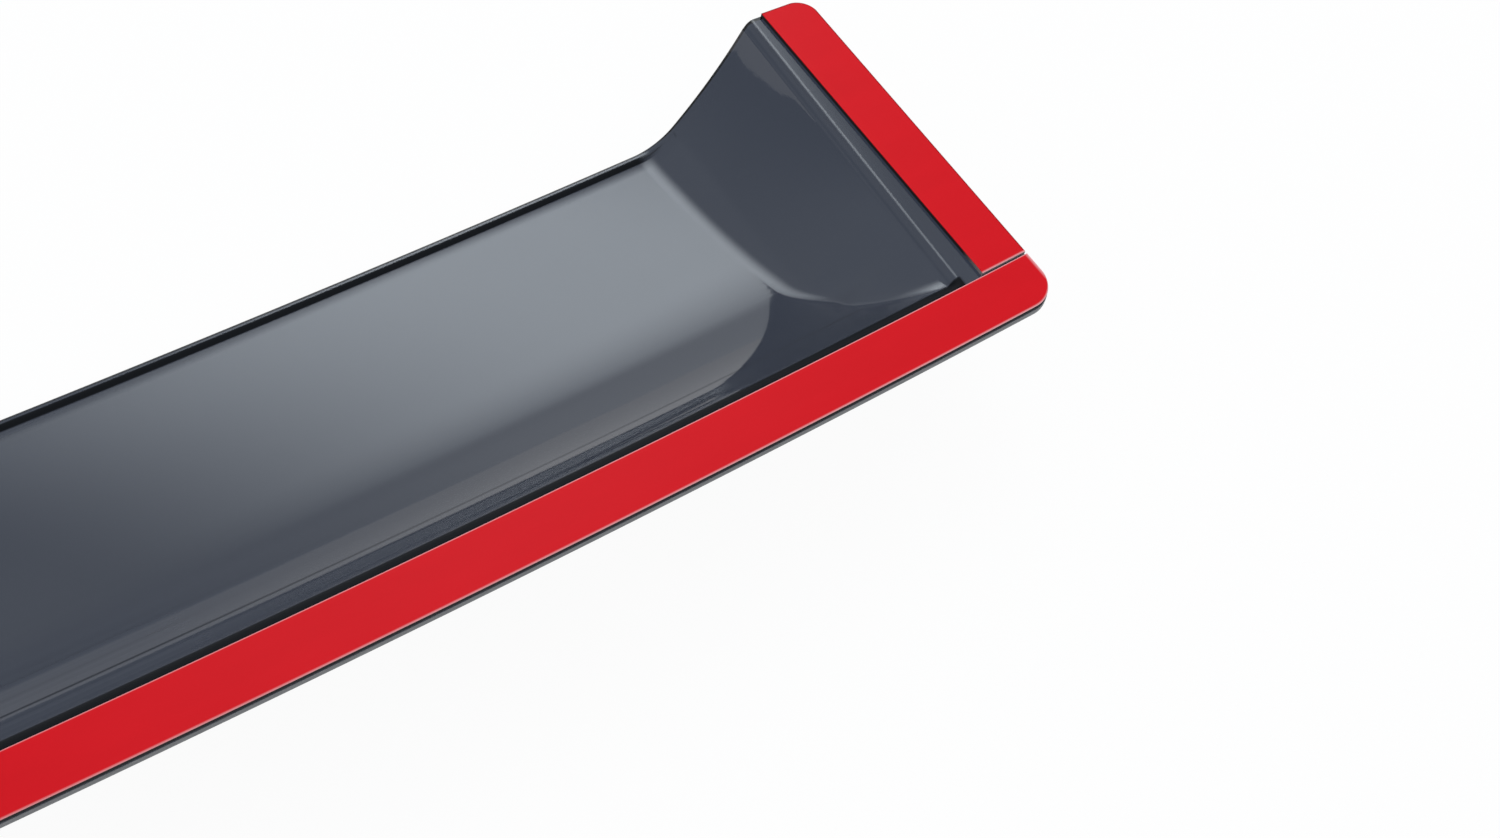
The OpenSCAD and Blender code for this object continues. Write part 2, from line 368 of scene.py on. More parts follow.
    def top_z(self, x: Numbers, v: Numbers) -> Numbers:
        """Tape side of the sheet.

        From the flange's height it takes the wing's drop, which fades as the end wall rises, and
        the small step, and adds the bead, all scaled by the share of the wing at x.

        Args:
            x: Place along the sheet.
            v: Run across the section.

        Returns:
            Z of the tape side at each point.
        """
        w = self.plan.wall_top_x(v) - x + self.bend_gap
        crease = self.crease_at(v)
        t = (x - crease) / (self.wall_foot_x(v) - crease)
        fall = (self.wing_drop(v, x) - self.step_part(v)) * (1 - self.wall_rise(t, v))
        shape = self.bead(v) * (1 - np.clip(t, 0, 1)) - self.step_part(self.inside(v, w)) - fall
        flat = (v <= self.bend_gap) | (w <= self.bend_gap)
        return np.where(flat, self.flange_top, self.flange_top + self.plan.share(x) * shape)

    def outer_z(self, x: Numbers, v: Numbers) -> Numbers:
        """Outer side of the sheet.

        It is the lowest reach of balls as large as the sheet is thick, whose centres lie on the
        tape side, from the point itself downhill.

        Args:
            x: Place along the sheet.
            v: Run across the section.

        Returns:
            Z of the outer side at each point.
        """
        plan = self.plan
        low = np.maximum(v - self.probe, 0)
        high = np.minimum(v + self.probe, plan.wing_w)
        fall_x = (self.top_z(x - self.probe, v) - self.top_z(x + self.probe, v)) / (2 * self.probe)
        fall_v = (self.top_z(x, low) - self.top_z(x, high)) / (plan.share(x) * (high - low))
        steep = np.maximum(np.hypot(fall_x, fall_v), LEAST_SLOPE)
        lowest = np.full(x.shape, np.inf)
        for angle in np.linspace(0, self.reach_slope, self.reach_steps):
            s = self.sheet_t * sin_of(angle)
            far_x = np.clip(x + s * fall_x / steep, plan.front_x, plan.rear_x)
            far_v = np.clip(v + s * fall_v / steep / plan.share(x), 0, plan.wing_w)
            gap = np.hypot(far_x - x, (far_v - v) * plan.share(x))
            reach = np.sqrt(np.maximum(self.sheet_t**2 - gap**2, 0))
            lowest = np.minimum(lowest, self.top_z(far_x, far_v) - reach)
        return lowest


def crowded(start: float, end: float, steps: int, power: float = 1.0) -> np.ndarray:
    """Values from start to end, without the start, crowded towards the start by a power."""
    t = np.arange(1, steps + 1) / steps
    return start + (end - start) * t**power


def closing(start: float, end: float, steps: int) -> np.ndarray:
    """Values from start to end whose steps shrink towards the end, as a circle's do."""
    return start + (end - start) * np.sin(quarter(steps))


def mesh_object(name: str, rings: np.ndarray, mark: np.ndarray) -> bpy.types.Object:
    """Makes a closed mesh from rings of points, one ring a station.

    Args:
        name: Name of the object.
        rings: Array of stations by ring points by three, in millimetres. Each ring runs out
            along the top and back along the bottom, with as many points each way. What
            rounding puts past the box of the solids is brought back to it.
        mark: A number for each point, kept as the attribute "rim" for the finish to read.

    Returns:
        The object, smooth except across sharp edges.
    """
    rings = np.clip(rings, *(np.array(CAD_BOX) / MM))
    rows, ring, _ = rings.shape
    half = ring // 2
    index = np.arange(rows * ring).reshape(rows, ring)
    around = np.roll(index, -1, axis=1)
    skin = np.stack([index[:-1], index[1:], around[1:], around[:-1]], axis=-1).reshape(-1, 4)
    top = np.arange(half - 1)
    cap = np.stack([top, top + 1, ring - 2 - top, ring - 1 - top], axis=-1)
    faces = np.concatenate([skin, index[0][cap], index[-1][cap[:, ::-1]]])
    mesh = bpy.data.meshes.new(name)
    mesh.vertices.add(rows * ring)
    mesh.vertices.foreach_set("co", (rings * MM).astype(np.float32).ravel())
    mesh.loops.add(faces.size)
    mesh.loops.foreach_set("vertex_index", faces.astype(np.int32).ravel())
    mesh.polygons.add(len(faces))
    mesh.polygons.foreach_set("loop_start", np.arange(0, faces.size, 4, dtype=np.int32))
    mesh.update(calc_edges=True)
    mesh.validate()
    rim = mesh.attributes.new("rim", "FLOAT", "POINT")
    rim.data.foreach_set("value", mark.astype(np.float32).ravel())
    mesh.shade_smooth()
    mesh.set_sharp_from_angle(angle=np.radians(SHARP_ANGLE))
    piece = bpy.data.objects.new(name, mesh)
    bpy.context.scene.collection.objects.link(piece)
    return piece


class Socket:
    """A shader value that takes the arithmetic operators and adds a Math node for each."""

    def __init__(self, graph: "Graph", link: Any) -> None:
        """Keeps the graph and the node socket, or the plain number, that the value stands for."""
        self.graph = graph
        self.link = link

    def _math(self, operation: str, first: Any, second: Any = None) -> "Socket":
        """Adds one Math node and returns its result."""
        values = {0: first} if second is None else {0: first, 1: second}
        return self.graph.add("ShaderNodeMath", {"operation": operation}, values)

    def __add__(self, other: Any) -> "Socket":
        """Sum."""
        return self._math("ADD", self, other)

    def __radd__(self, other: Any) -> "Socket":
        """Sum with the value on the right."""
        return self._math("ADD", other, self)

    def __sub__(self, other: Any) -> "Socket":
        """Difference."""
        return self._math("SUBTRACT", self, other)

    def __rsub__(self, other: Any) -> "Socket":
        """Difference with the value on the right."""
        return self._math("SUBTRACT", other, self)

    def __mul__(self, other: Any) -> "Socket":
        """Product."""
        return self._math("MULTIPLY", self, other)

    def __rmul__(self, other: Any) -> "Socket":
        """Product with the value on the right."""
        return self._math("MULTIPLY", other, self)

    def clamp(self) -> "Socket":
        """The value held between 0 and 1."""
        return self.graph.add("ShaderNodeClamp", {}, {"Value": self})

    def ramp(self, start: float, end: float) -> "Socket":
        """Straight ramp: 0 where the value is start, 1 where it is end, and held beyond."""
        return ((self - start) * (1.0 / (end - start))).clamp()

    def step(self, start: float, end: float, low: float = 0.0, high: float = 1.0) -> "Socket":
        """Smooth step: low where the value is start, high where it is end, and held beyond."""
        values = {"Value": self, "From Min": start, "From Max": end, "To Min": low, "To Max": high}
        return self.graph.add("ShaderNodeMapRange", {"interpolation_type": "SMOOTHSTEP"}, values)


@dataclass(frozen=True)
class Grain:
    """A noise over a piece: its scale per metre along each axis, and its detail."""

    scale: tuple[float, float, float]
    detail: float


class Graph:
    """The node tree of a material, a light or a world, with one method that adds any node."""

    def __init__(self, owner: bpy.types.ID) -> None:
        """Gives the owner an empty node tree.

        Args:
            owner: The material, light or world.
        """
        owner.use_nodes = True
        self.tree = owner.node_tree
        self.tree.nodes.clear()

    def add(self, kind: str, settings: dict[str, Any], values: dict[Any, Any],
            output: Any = 0) -> Socket:
        """Adds a node.

        Args:
            kind: Type of the node.
            settings: Attributes of the node, set first.
            values: Numbers, colours or links for its inputs, by name or index.
            output: Name or index of the output that is returned.

        Returns:
            The chosen output.
        """
        node = self.tree.nodes.new(kind)
        for key, value in settings.items():
            setattr(node, key, value)
        for key, value in values.items():
            link = value.link if isinstance(value, Socket) else value
            if isinstance(link, bpy.types.NodeSocket):
                self.tree.links.new(link, node.inputs[key])
            else:
                node.inputs[key].default_value = link
        return Socket(self, node.outputs[output] if len(node.outputs) else None)

    def place(self, scale: tuple[float, float, float]) -> Socket:
        """Object coordinates, scaled along each axis, for a pattern."""
        where = self.add("ShaderNodeTexCoord", {}, {}, "Object")
        return self.add("ShaderNodeMapping", {}, {"Vector": where, "Scale": scale})

    def noise(self, grain: Grain) -> Socket:
        """Noise between 0 and 1 over the object."""
        values = {"Vector": self.place(grain.scale), "Scale": 1.0, "Detail": grain.detail}
        return self.add("ShaderNodeTexNoise", {}, values)

    def bump(self, strength: float, distance: float, height: Socket) -> Socket:
        """Normal of the surface, roughened by a height."""
        values = {"Strength": strength, "Distance": distance, "Height": height}
        return self.add("ShaderNodeBump", {}, values)

    def mark(self) -> Socket:
        """The number that the mesh keeps for each point."""
        return self.add("ShaderNodeAttribute", {"attribute_name": "rim"}, {}, "Fac")

    def mixed(self, factor: Socket, first: Any, second: Any) -> Socket:
        """Colour that goes from the first to the second as the factor goes from 0 to 1."""
        # Inputs 6 and 7 and output 2 of this node are its colours.
        colors = {0: factor, 6: first, 7: second}
        return self.add("ShaderNodeMix", {"data_type": "RGBA"}, colors, 2)


def new_material(name: str) -> tuple[bpy.types.Material, Graph]:
    """Makes an empty material, and the graph that takes its nodes."""
    material = bpy.data.materials.new(name)
    return material, Graph(material)


@dataclass(frozen=True)
class SmokedAcrylic:
    """Polished smoked acrylic that lets a little light through.

    The colours after the edge's, and the numbers below them, are painted shade and painted reflections
    on the tape side: a nearly black band, a dark line beside it, finer light and dark lines, and a dull
    dark cover over the gloss. The cover sets in along the sheet from dull_from to dull_full, and fades
    out from nose_full to nose_from, in metres.
    """

    tint: Rgba = (0.082, 0.098, 0.131, 1.0)
    haze: Rgba = (0.0, 0.05, 0.17, 1.0)
    density: float = 400.0
    ior: float = 1.49
    roughness: float = 0.03
    smears: Grain = Grain((120.0, 400.0, 400.0), 3.0)
    smear_roughness: float = 0.02
    ripples: Grain = Grain((6.0, 900.0, 900.0), 2.0)
    swell: Grain = Grain((25.0, 60.0, 60.0), 1.0)
    swell_height: float = 2.0
    ripple_height: float = 0.00002
    ripple_strength: float = 0.15
    # Paler grey on the flange's rounded edge is a painted highlight, flecked by a noise as painted
    # glints.
    edge_dark: Rgba = (0.10, 0.10, 0.105, 1.0)
    edge_light: Rgba = (0.26, 0.26, 0.265, 1.0)
    edge_roughness: float = 0.55
    edge_sparkle: Grain = Grain((300.0, 2500.0, 2500.0), 3.0)
    # Painted shade and painted reflections for the tape side: slate, paler slate for the light lines,
    # and near black.
    painted_shade_dark: Rgba = (0.035, 0.040, 0.055, 1.0)
    painted_shade_light: Rgba = (0.078, 0.086, 0.110, 1.0)
    painted_shade_black: Rgba = (0.006, 0.007, 0.009, 1.0)
    painted_shade_roughness: float = 0.6
    painted_shade_shine: float = 0.06
    lines_along: float = 3.0
    lines_across: float = 45.0
    lines_detail: float = 2.0
    core_from: float = 0.75
    core_share: float = 0.95
    line_at: float = 0.625
    line_half: float = 1 / 90
    line_black: float = 0.8
    line_shade_cover: float = 0.35
    shade_cover_full: float = 1 / 2.2
    shade_cover_least: float = 0.1
    shade_cover_front: float = 0.55
    dull_from: float = -0.0902
    dull_full: float = -0.1601
    nose_full: float = -0.6
    nose_from: float = -0.7

    def build(self) -> bpy.types.Material:
        """Builds the material: clear gloss with faint moulding ripples along the sheet.

        The mark of the mesh chooses the finish. Above 0 the rounded edge of the flange is satin and
        painted paler, a painted highlight. Below 0 the tape side takes painted shade and painted
        reflections.

        Returns:
            The material.
        """
        material, graph = new_material("smoked_acrylic")
        height = graph.noise(self.ripples) + graph.noise(self.swell) * self.swell_height
        bump = graph.bump(self.ripple_strength, self.ripple_height, height)
        polish = self.roughness + graph.noise(self.smears) * self.smear_roughness
        gloss = graph.add("ShaderNodeBsdfPrincipled", {}, {
            "Base Color": self.tint, "Roughness": polish, "IOR": self.ior,
            "Transmission Weight": 1.0, "Normal": bump})
        # Painted highlight on the flange's rounded edge, flecked with painted glints.
        edge = graph.mixed(graph.noise(self.edge_sparkle), self.edge_dark, self.edge_light)
        painted_edge_highlight = graph.add("ShaderNodeBsdfPrincipled", {}, {
            "Base Color": edge, "Roughness": self.edge_roughness})
        edge_highlight_share = graph.mark().clamp()
        surface = graph.add("ShaderNodeMixShader", {}, {0: edge_highlight_share, 1: gloss, 2: painted_edge_highlight})
        # Painted shade and painted reflections cover the gloss where the mesh is marked below 0.
        share, dull = self.painted_shade(graph)
        surface = graph.add("ShaderNodeMixShader", {}, {0: share, 1: surface, 2: dull})
        volume = graph.add("ShaderNodeVolumeAbsorption", {}, {
            "Color": self.haze, "Density": self.density})
        graph.add("ShaderNodeOutputMaterial", {}, {"Surface": surface, "Volume": volume})
        return material

    def painted_shade(self, graph: Graph) -> tuple[Socket, Socket]:
        """The painted shade and painted reflections of the tape side, and how much of them shows over
        the gloss.

        The core is a nearly black band of painted shade, and so is one line beside it. Finer light and
        dark lines, painted reflections, follow the bend, because their noise is read at the mark and
        hardly changes along the sheet. The dull cover, painted shade over the reflections, grows with
        the mark, on the line, and over the duller stretch in front of the end wall.

        Args:
            graph: Node tree of the material.

        Returns:
            The share of the painted shade, and the dull dark finish that paints it.
        """
        below = (0.0 - graph.mark()).clamp()
        along = graph.add("ShaderNodeSeparateXYZ", {}, {0: graph.place((1.0, 1.0, 1.0))}, 0)
        where = graph.add("ShaderNodeCombineXYZ", {}, {
            0: along * self.lines_along, 1: below * self.lines_across})
        lines = graph.add("ShaderNodeTexNoise", {}, {
            "Vector": where, "Scale": 1.0, "Detail": self.lines_detail})
        # Painted shade: a nearly black band in the bend and a dark line beside it.
        core = below.ramp(self.core_from, 1.0)
        off = graph.add("ShaderNodeMath", {"operation": "ABSOLUTE"}, {0: below - self.line_at})
        line = off.ramp(self.line_half, 0.0)
        dull = along.ramp(self.dull_from, self.dull_full)
        front = dull * along.ramp(self.nose_from, self.nose_full)
        # Dull painted shade over the reflections, most on the line and in front of the end wall.
        shade_cover = front * self.shade_cover_front + line * self.line_shade_cover + self.shade_cover_least
        shade_cover = below.ramp(0.0, self.shade_cover_full) * shade_cover
        color = graph.mixed(lines, self.painted_shade_dark, self.painted_shade_light)
        color = graph.mixed((core + line * self.line_black).clamp(), color, self.painted_shade_black)
        finish = graph.add("ShaderNodeBsdfPrincipled", {}, {
            "Base Color": color, "Roughness": self.painted_shade_roughness,
            "Specular IOR Level": self.painted_shade_shine})
        return (shade_cover + core * self.core_share).clamp(), finish


@dataclass(frozen=True)
class FoamTape:
    """Closed-cell grey foam, matt and faintly pitted."""

    light: Rgba = (0.30, 0.29, 0.28, 1.0)
    dark: Rgba = (0.20, 0.195, 0.19, 1.0)
    # Painted shade: nearly black for the cut sides of the foam.
    side: Rgba = (0.006, 0.006, 0.007, 1.0)
    seam: Rgba = (0.42, 0.36, 0.36, 1.0)
    roughness: float = 0.9
    cells: Grain = Grain((3500.0, 3500.0, 3500.0), 3.0)
    cell_share: float = 0.7
    clouds: Grain = Grain((400.0, 400.0, 400.0), 2.0)
    cloud_share: float = 0.5
    mottle_least: float = 0.1
    upright_from: float = 0.75
    pit_depth: float = 0.00008
    pit_strength: float = 0.6

    def build(self) -> bpy.types.Material:
        """Builds the material: a mottled grey face, and painted shade on the cut sides.

        The face shows where the surface looks straight up, and nearly black painted shade on the cut
        sides, which face away from the light. The side at the seam, where the mesh is marked, is pale.

        Returns:
            The material.
        """
        material, graph = new_material("foam_tape")
        cells = graph.noise(self.cells)
        mottle = cells * self.cell_share + graph.noise(self.clouds) * self.cloud_share
        face = graph.mixed((mottle - self.mottle_least).clamp(), self.dark, self.light)
        normal = graph.add("ShaderNodeNewGeometry", {}, {}, "Normal")
        upright = graph.add("ShaderNodeSeparateXYZ", {}, {0: normal}, 2)
        # Painted shade: the sides that do not face up take the nearly black colour.
        color = graph.mixed(upright.ramp(self.upright_from, 1.0), self.side, face)
        color = graph.mixed(graph.mark().clamp(), color, self.seam)
        bump = graph.bump(self.pit_strength, self.pit_depth, cells)
        surface = graph.add("ShaderNodeBsdfPrincipled", {}, {
            "Base Color": color, "Roughness": self.roughness, "Normal": bump})
        graph.add("ShaderNodeOutputMaterial", {}, {"Surface": surface})
        return material


@dataclass(frozen=True)
class ReleaseLiner:
    """Red plastic film with a satin face."""

    bright: Rgba = (0.77, 0.005, 0.013, 1.0)
    deep: Rgba = (0.68, 0.004, 0.010, 1.0)
    # Painted highlight along the film's rims.
    pale: Rgba = (0.95, 0.48, 0.49, 1.0)
    dark: Rgba = (0.16, 0.004, 0.006, 1.0)
    roughness: float = 0.3
    grain_roughness: float = 0.1
    ior: float = 1.45
    shine: float = 0.09
    clouds: Grain = Grain((40.0, 160.0, 160.0), 3.0)
    cloud_share: float = 0.8
    cloud_height: float = 2.0
    grains: Grain = Grain((1500.0, 1500.0, 1500.0), 2.0)
    grain_share: float = 0.2
    grain_height: float = 0.00003
    grain_strength: float = 0.15

    def build(self) -> bpy.types.Material:
        """Builds the material: slow changes of depth, and a faint grain in the gloss.

        The rim of the film is painted paler where the mesh is marked above 0, a painted highlight, and
        darker below 0.

        Returns:
            The material.
        """
        material, graph = new_material("release_liner")
        cloud = graph.noise(self.clouds)
        grain = graph.noise(self.grains)
        depth = (cloud * self.cloud_share + grain * self.grain_share).clamp()
        color = graph.mixed(depth, self.deep, self.bright)
        # Painted highlight where the rim is marked above 0.
        color = graph.mixed(graph.mark().clamp(), color, self.pale)
        color = graph.mixed((0.0 - graph.mark()).clamp(), color, self.dark)
        height = cloud * self.cloud_height + grain
        surface = graph.add("ShaderNodeBsdfPrincipled", {}, {
            "Base Color": color, "Roughness": self.roughness + grain * self.grain_roughness,
            "IOR": self.ior, "Specular IOR Level": self.shine,
            "Normal": graph.bump(self.grain_strength, self.grain_height, height)})
        graph.add("ShaderNodeOutputMaterial", {}, {"Surface": surface})
        return material


@dataclass
class Shell:
    """The moulded acrylic sheet.

    Names in steps count the stations or runs of a stretch, and names in crowd are the power by
    which they crowd towards one end. The taper's steps before taper_first lie within the nose.
    The runs and marks say where across the section the tape side takes painted shade and painted
    reflections, and how much.
    """

    section: Section
    finish: SmokedAcrylic = field(default_factory=SmokedAcrylic)
    # Width within which the painted highlight on the flange's edge fades out.
    edge_highlight_w: float = 0.06
    edge_steps: int = 12
    flange_steps: int = 4
    stretch_steps: tuple[int, ...] = (14, 4, 5, 12, 20)
    lip_steps: int = 22
    lip_crowd: float = 1.5
    taper_first: int = 9
    taper_steps: int = 48
    middle_steps: int = 70
    wall_split: float = 0.85
    wall_low_steps: int = 70
    wall_low_crowd: float = 1.4
    wall_high_steps: int = 30
    band_shares: tuple[float, ...] = (0.33, 0.66)
    corner_steps: int = 22
    # Painted shade beside the flange's bend, over the knee and in the hollow inside the lip's bead.
    bend_runs: tuple[float, ...] = (-0.01, 0.0, 2.4, 3.4)
    bend_marks: tuple[float, ...] = (0.0, 1.0, 1.0, 0.0)
    knee_runs: tuple[float, ...] = (-0.01, 0.0, 4.0, 20.0, 26.0)
    knee_marks: tuple[float, ...] = (0.0, 0.75, 0.75, 0.35, 0.0)
    knee_fade: float = 0.25
    hollow_in: float = 1.7
    hollow_fade: float = 0.9
    hollow_peak: float = 1.6

    def runs(self) -> np.ndarray:
        """Runs across the section, closer together where it turns.

        Returns:
            From -1 to 0 shares of the flange, and from 0 to the lip millimetres of the wing.
        """
        s = self.section
        plan = s.plan
        edge = -1 + (1 - np.cos(quarter(self.edge_steps))) * s.edge_r / plan.flange_w
        ends = [s.bend_gap, s.bend_end, s.ease_end, s.shoulder_end, s.knee_end,
                plan.wing_w - s.bead_w]
        stretches = [crowded(start, end, steps)
                     for start, end, steps in zip(ends, ends[1:], self.stretch_steps)]
        left = 1 - np.arange(1, self.lip_steps + 1) / self.lip_steps
        return np.concatenate([edge, crowded(edge[-1], 0, self.flange_steps), [s.bend_gap],
                               *stretches, plan.wing_w - s.bead_w * left**self.lip_crowd])

    def stations(self, v: np.ndarray) -> np.ndarray:
        """Places of the stations. Their lines follow the crease and slant with the wall.

        Args:
            v: Runs across the section.

        Returns:
            X of each station on each run, as stations by runs.
        """
        s = self.section
        plan = s.plan
        nose = plan.front_x + plan.nose_r * (1 - np.cos(quarter(self.edge_steps)))
        way = np.arange(self.taper_first, self.taper_steps + 1) / self.taper_steps
        taper = plan.wing_x + plan.taper_len * way**2
        before = np.concatenate([nose, taper])[:, None] + 0 * v
        run = np.maximum(v, 0)
        crease, top = s.crease_at(run), plan.wall_top_x(run)
        middle = blend_of(taper[-1], crease, crowded(0, 1, self.middle_steps)[:, None])
        low = crowded(0, self.wall_split, self.wall_low_steps, self.wall_low_crowd)
        shares = np.concatenate([low, crowded(self.wall_split, 1, self.wall_high_steps)])
        wall = blend_of(crease, top, shares[:, None])
        corner_x = plan.rear_x - plan.rear_corner_r
        band = blend_of(top, corner_x, np.array(self.band_shares)[:, None])
        corner = closing(corner_x, plan.rear_x, self.corner_steps)[:, None] + 0 * v
        return np.concatenate([before, middle, wall, band, corner])

    def rings(self) -> np.ndarray:
        """Points of the sheet: the tape side out to the lip, and the outer side back.

        The plan place goes straight from the outer edge to the inner edge of the long tape on the
        flange, and from there to the lip on the wing. Both long edges and both ends are rounded
        by the distance of each point from the outline.

        Returns:
            The points, as stations by ring points by three.
        """
        s = self.section
        plan = s.plan
        v = self.runs()
        x = self.stations(v)
        flange_y = blend_of(plan.inner_edge(x), plan.outer_y(x), -v)
        wing_y = blend_of(plan.inner_edge(x), plan.lip_y(x), v / plan.wing_w)
        y = np.where(v < 0, flange_y, wing_y)
        edge = np.minimum.reduce([y - plan.outer_y(x), plan.lip_y(x) - y,
                                  plan.rear_x - x, x - plan.front_x])
        run = np.maximum(v, 0) + 0 * x
        top = s.top_z(x, run) - round_back(s.top_edge_r, s.top_edge_r - edge)
        low = s.outer_z(x, run) + round_back(s.edge_r, s.edge_r - edge)
        above = np.stack([x, y, top], axis=-1)
        below = np.stack([x, y, low], axis=-1)[:, ::-1]
        return np.concatenate([above, below], axis=1)

    def painted_shade(self, x: np.ndarray, v: np.ndarray) -> np.ndarray:
        """How much painted shade the tape side takes: the bend, the knee and the hollow of the lip.

        The bend is marked up to the wall's top. The knee's mark fades within knee_fade of the way
        up the wall, and the hollow's over the whole way.

        Args:
            x: Place of each point along the sheet.
            v: Run of each point across the section.

        Returns:
            1 in the core of the bend and of the hollow, less over the knee, and 0 elsewhere.
        """
        s = self.section
        crease = s.crease_at(np.maximum(v, 0))
        t = np.clip((x - crease) / (s.wall_foot_x(v) - crease), 0, 1)
        bend = np.interp(v, self.bend_runs, self.bend_marks) * (x <= s.plan.wall_top_x(v))
        knee = np.interp(v, self.knee_runs, self.knee_marks)
        knee = knee * (1 - np.clip(t / self.knee_fade, 0, 1))
        off = np.abs(s.plan.wing_w - self.hollow_in - v)
        hollow = np.clip(self.hollow_peak - off / self.hollow_fade, 0, 1) * (1 - t)
        return np.maximum.reduce([bend, knee, hollow])

    def marks(self, rings: np.ndarray) -> np.ndarray:
        """Marks the painted highlight on the flange's rounded edge above 0, and the painted shade of
        the tape side below 0.

        The mark is 1 on the side of the flange and falls to 0 within the highlight's width of the
        outline.

        Args:
            rings: Points of the sheet.

        Returns:
            The mark of each point.
        """
        plan = self.section.plan
        x, y = rings[..., 0], rings[..., 1]
        runs = self.runs()
        painted_shade = self.painted_shade(x, np.concatenate([runs, runs[::-1]]))
        past = np.clip((y - plan.outer_y(x)) / self.edge_highlight_w, 0, 1)
        top = np.arange(rings.shape[1]) < rings.shape[1] // 2
        return np.where(top, np.where(past <= 0, 1.0, 0.0) - painted_shade, 1 - past)

    def build(self) -> bpy.types.Object:
        """Builds and dresses the sheet in place of its solid.

        Returns:
            The piece.
        """
        rings = self.rings()
        piece = mesh_object("moulded_sheet", rings, self.marks(rings))
        piece.data.materials.append(self.finish.build())
        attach(piece, "root")
        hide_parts("visor_shell")
        return piece


class Strip(Enum):
    """Which flange a strip of tape lies on."""

    LONG = "long"
    END = "end"


@dataclass
class Layer:
    """One layer of a strip of tape: the foam or its liner.

    Names in steps count the points of a stretch, and widest_rim is the most of the strip's width
    that one rounded edge takes.
    """

    plan: Plan
    strip: Strip
    name: str
    node: str
    slot: str
    material: bpy.types.Material
    low_z: float
    top_z: float
    edge_w: float
    edge_h: float
    # Widths of the rim marks; on the liners the pale ones are a painted highlight, widest round the
    # rear corner.
    rim_w: float = 0.38
    inner_rim_w: float = 0.26
    rear_rim_w: float = 0.7
    nose_steps: int = 13
    long_steps: int = 220
    end_edge_steps: int = 7
    end_steps: int = 6
    corner_steps: int = 22
    rim_steps: int = 8
    across_steps: int = 12
    widest_rim: float = 0.45

    def outline(self) -> tuple[np.ndarray, np.ndarray, np.ndarray]:
        """Outline of the strip, set back from the sheet's edge by the tape's margin.

        Returns:
            X of the stations, and Y of the low and of the high side at each.
        """
        plan = self.plan
        back = plan.tape_margin
        if self.strip is Strip.LONG:
            r = plan.nose_r
            nose = plan.front_x + r - (r - back) * np.cos(quarter(self.nose_steps))
            middle = crowded(nose[-1], plan.rear_x - plan.rear_corner_r, self.long_steps)
            corner = closing(middle[-1], plan.rear_x - back, self.corner_steps)[1:]
            x = np.concatenate([nose, middle, corner])
            return x, plan.outer_y(x, back), plan.inner_edge(x)
        half = plan.end_tape_w / 2
        edge = -half + self.edge_w * (1 - np.cos(quarter(self.end_edge_steps)))
        middle = crowded(edge[-1], half - plan.tip_corner_r, self.end_steps)
        corner = closing(middle[-1], half, self.corner_steps)[1:]
        x = np.concatenate([edge, middle, corner])
        return x, plan.inner_edge(x) + plan.seam_gap, plan.lip_y(x, back)

    def rings(self) -> np.ndarray:
        """Points of the layer: its top from side to side, and its underside back.

        The top's edges fall as a quarter of an ellipse, edge_w wide and edge_h high.

        Returns:
            The points, as stations by ring points by three.
        """
        x, low, high = self.outline()
        span = (high - low)[:, None]
        widest = np.minimum(self.edge_w / span, self.widest_rim)
        shoulder = widest * (1 - np.cos(quarter(self.rim_steps)))
        inner = np.arange(1, self.across_steps) / self.across_steps
        across = blend_of(shoulder[:, -1:], 1 - shoulder[:, -1:], inner)
        share = np.concatenate([shoulder, across, 1 - shoulder[:, ::-1]], axis=1)
        y = low[:, None] + span * share
        xs = x[:, None] + 0 * y
        edge = np.minimum.reduce([y - low[:, None], high[:, None] - y, xs - x[0], x[-1] - xs])
        fall = round_back(1.0, 1.0 - edge / self.edge_w) * self.edge_h
        top = np.stack([xs, y, self.top_z - fall], axis=-1)
        under = np.stack([xs, y, self.low_z + 0 * y], axis=-1)[:, ::-1]
        return np.concatenate([top, under], axis=1)

    def rims(self, rings: np.ndarray) -> np.ndarray:
        """Marks the rims: pale above 0 and dark below 0.

        Each rim's mark falls from its full value at the edge to 0 within the rim's width. The long
        liner's rims are pale, a painted highlight, and fade towards the front. The end liner is pale at
        the seam, a painted highlight, and dark at its rear and the lip. Of the foams only the end one
        is marked, at the seam.

        Args:
            rings: Points of the layer.

        Returns:
            The mark of each point.
        """
        x, y = rings[..., 0], rings[..., 1]
        low, high = (side[:, None] for side in self.outline()[1:])
        seam = 1 - np.clip((y - low) / self.rim_w, 0, 1)
        if self.slot == "foam_tape":
            return seam if self.strip is Strip.END else 0 * x
        if self.strip is Strip.LONG:
            nearest = np.minimum.reduce([(y - low) / self.rim_w, (high - y) / self.inner_rim_w,
                                         (x.max() - x) / self.rear_rim_w])
            # The long liner's painted highlight fades towards the front.
            along = (x - x.min()) / (x.max() - x.min())
            return along * (1 - np.clip(nearest, 0, 1))
        back = 1 - np.clip(np.minimum(x.max() - x, high - y) / self.rim_w, 0, 1)
        return np.where(seam > 0, seam, -back)

    def build(self) -> bpy.types.Object:
        """Builds and dresses the layer in place of its solid.

        Returns:
            The piece.
        """
        rings = self.rings()
        piece = mesh_object(self.name, rings, self.rims(rings))
        piece.data.materials.append(self.material)
        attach(piece, "root")
        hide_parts(self.node)
        return piece


